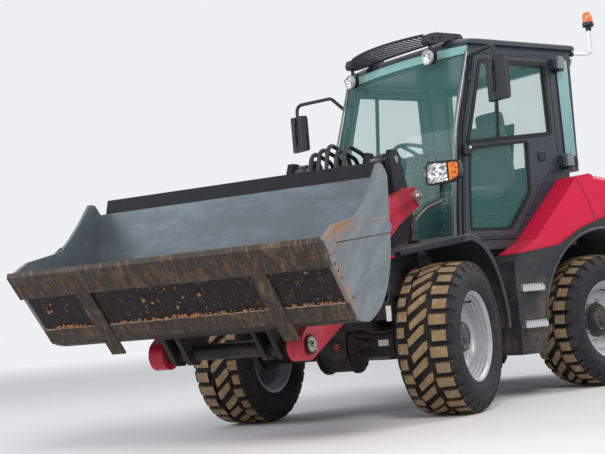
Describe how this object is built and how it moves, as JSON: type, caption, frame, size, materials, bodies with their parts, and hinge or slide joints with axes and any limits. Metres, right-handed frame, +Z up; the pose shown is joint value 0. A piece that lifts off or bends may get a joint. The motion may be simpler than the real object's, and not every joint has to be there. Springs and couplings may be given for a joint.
{
  "type": "compact articulated wheel loader",
  "caption": "Articulated wheel loader with cab, lifting arms and curled bucket; steering, arms, bucket, doors, hood and wheels move.",
  "frame": {"origin": "on the ground under the middle of the whole machine's box", "axes": "+X forward along the rear frame, +Y to the machine's left, +Z up"},
  "size_m": [5.6072, 3.363, 2.699],
  "materials": {
    "tyre_rubber": "matt black rubber with dried earth on the lugs",
    "rim_silver": "light silver paint, dusty",
    "red_paint": "glossy crimson paint",
    "black_steel": "satin dark grey chassis paint",
    "cast_iron": "painted cast iron",
    "slate_paint": "slate grey paint",
    "dark_plastic": "moulded dark grey plastic",
    "cab_glass": "tinted safety glass",
    "bucket_paint": "worn blue grey paint with streaks of earth",
    "worn_steel": "scraped steel with rust",
    "chrome_rod": "hard chromed rod",
    "cylinder_black": "glossy black paint",
    "seat_fabric": "dark woven seat cover",
    "lamp_glass": "clear and amber lenses in black housings",
    "beacon_orange": "orange dome on a chromed post",
    "step_steel": "galvanised serrated steel",
    "hose_rubber": "black hydraulic hose",
    "pin_steel": "greased pin steel"
  },
  "bodies": {
    "rear_frame": {"rear_chassis": "black_steel", "rear_axle": "cast_iron", "rear_fenders": "dark_plastic", "side_panels": "red_paint", "engine_block": "cast_iron", "counterweight": "cast_iron", "rear_lamps": "lamp_glass", "tow_coupling": "cast_iron", "exhaust": "worn_steel", "steps": "step_steel", "cab_frame": "slate_paint", "cab_glass": "cab_glass", "screen_frame": "slate_paint", "roof": "dark_plastic", "sun_visor": "dark_plastic", "operator_seat": "seat_fabric", "steering_column": "dark_plastic", "steering_wheel": "dark_plastic", "armrest": "dark_plastic", "mirrors": "dark_plastic", "work_lamps": "lamp_glass", "beacon": "beacon_orange"},
    "front_frame": {"front_chassis": "black_steel", "front_axle": "cast_iron", "boom_pins": "pin_steel", "front_fenders": "dark_plastic", "headlamps": "lamp_glass", "tower_hoses": "hose_rubber"},
    "boom": {"boom": "red_paint"},
    "hitch_shaft": {"hitch_shaft": "black_steel"},
    "bucket": {"bucket": "bucket_paint", "cutting_edge": "worn_steel", "wear_straps": "worn_steel", "spill_guard": "cylinder_black", "quick_hitch": "black_steel"},
    "lift_barrels": {"lift_barrels": "cylinder_black"},
    "lift_rods": {"lift_rods": "chrome_rod"},
    "tilt_pins": {"tilt_pins": "pin_steel"},
    "tilt_barrels": {"tilt_barrels": "cylinder_black"},
    "tilt_rods": {"tilt_rods": "chrome_rod"},
    "wheel_front_left": {"tyre_front_left": "tyre_rubber", "rim_front_left": "rim_silver"},
    "wheel_front_right": {"tyre_front_right": "tyre_rubber", "rim_front_right": "rim_silver"},
    "wheel_rear_left": {"tyre_rear_left": "tyre_rubber", "rim_rear_left": "rim_silver"},
    "wheel_rear_right": {"tyre_rear_right": "tyre_rubber", "rim_rear_right": "rim_silver"},
    "door_left": {"door_left": "slate_paint", "door_glass_left": "cab_glass"},
    "door_right": {"door_right": "slate_paint", "door_glass_right": "cab_glass"},
    "hood": {"hood": "red_paint"}
  },
  "joints": [
    {"name": "steer", "type": "hinge", "parent": "rear_frame", "child": "front_frame", "pos_m": [-0.39361, -0.5115, 0.559], "axis": [0, 0, 1], "range_deg": [-66, 14]},
    {"name": "boom_lift", "type": "hinge", "parent": "front_frame", "child": "boom", "pos_m": [0.35239, -0.14765, 1.349], "axis": [0.4384, -0.8988, 0], "range_deg": [-12, 79]},
    {"name": "hitch_level", "type": "hinge", "parent": "boom", "child": "hitch_shaft", "pos_m": [1.802, 0.55937, 0.51655], "axis": [0.4384, -0.8988, 0], "range_deg": [-71.5, 11]},
    {"name": "bucket_tilt", "type": "hinge", "parent": "hitch_shaft", "child": "bucket", "pos_m": [1.802, 0.55937, 0.51655], "axis": [0.4384, -0.8988, 0], "range_deg": [-95, 0]},
    {"name": "tilt_follow", "type": "hinge", "parent": "front_frame", "child": "tilt_pins", "pos_m": [0.39733, -0.12574, 1.599], "axis": [0.4384, -0.8988, 0], "range_deg": [-14, 91]},
    {"name": "tilt_swing", "type": "hinge", "parent": "tilt_pins", "child": "tilt_barrels", "pos_m": [0.39733, -0.12574, 1.599], "axis": [0.4384, -0.8988, 0], "range_deg": [0, 8]},
    {"name": "tilt_slide", "type": "slide", "parent": "tilt_barrels", "child": "tilt_rods", "axis": [0.7746, 0.3778, -0.5072], "range_m": [0, 0.48]},
    {"name": "lift_swing", "type": "hinge", "parent": "front_frame", "child": "lift_barrels", "pos_m": [0.03073, -0.30453, 0.68989], "axis": [0.4384, -0.8988, 0], "range_deg": [-6.2, 39.7]},
    {"name": "lift_slide", "type": "slide", "parent": "lift_barrels", "child": "lift_rods", "axis": [0.8754, 0.427, 0.2267], "range_m": [-0.09, 0.565]},
    {"name": "wheel_front_left_spin", "type": "hinge", "parent": "front_frame", "child": "wheel_front_left", "pos_m": [0.24326, 0.57794, 0.456], "axis": [-0.4384, 0.8988, 0], "continuous": true},
    {"name": "wheel_front_right_spin", "type": "hinge", "parent": "front_frame", "child": "wheel_front_right", "pos_m": [0.85698, -0.68037, 0.456], "axis": [-0.4384, 0.8988, 0], "continuous": true},
    {"name": "wheel_rear_left_spin", "type": "hinge", "parent": "rear_frame", "child": "wheel_rear_left", "pos_m": [-1.47361, 0.1885, 0.456], "axis": [0, 1, 0], "continuous": true},
    {"name": "wheel_rear_right_spin", "type": "hinge", "parent": "rear_frame", "child": "wheel_rear_right", "pos_m": [-1.47361, -1.2115, 0.456], "axis": [0, 1, 0], "continuous": true},
    {"name": "door_left_hinge", "type": "hinge", "parent": "rear_frame", "child": "door_left", "pos_m": [-1.37861, 0.2065, 1.499], "axis": [0, 0, 1], "range_deg": [0, 105]},
    {"name": "door_right_hinge", "type": "hinge", "parent": "rear_frame", "child": "door_right", "pos_m": [-1.37861, -1.2295, 1.499], "axis": [0, 0, -1], "range_deg": [0, 105]},
    {"name": "hood_hinge", "type": "hinge", "parent": "rear_frame", "child": "hood", "pos_m": [-1.54361, -0.5115, 1.439], "axis": [0, 1, 0], "range_deg": [0, 50]}
  ],
  "couplings": [
    {"joint": "hitch_level", "follows": "boom_lift", "ratio": -0.9},
    {"joint": "tilt_follow", "follows": "boom_lift", "ratio": 1.147},
    {"joint": "tilt_swing", "follows": "bucket_tilt", "ratio": -0.082},
    {"joint": "tilt_slide", "follows": "bucket_tilt", "m_per_rad": -0.285},
    {"joint": "lift_swing", "follows": "boom_lift", "ratio": 0.5},
    {"joint": "lift_slide", "follows": "boom_lift", "m_per_rad": 0.405}
  ]
}
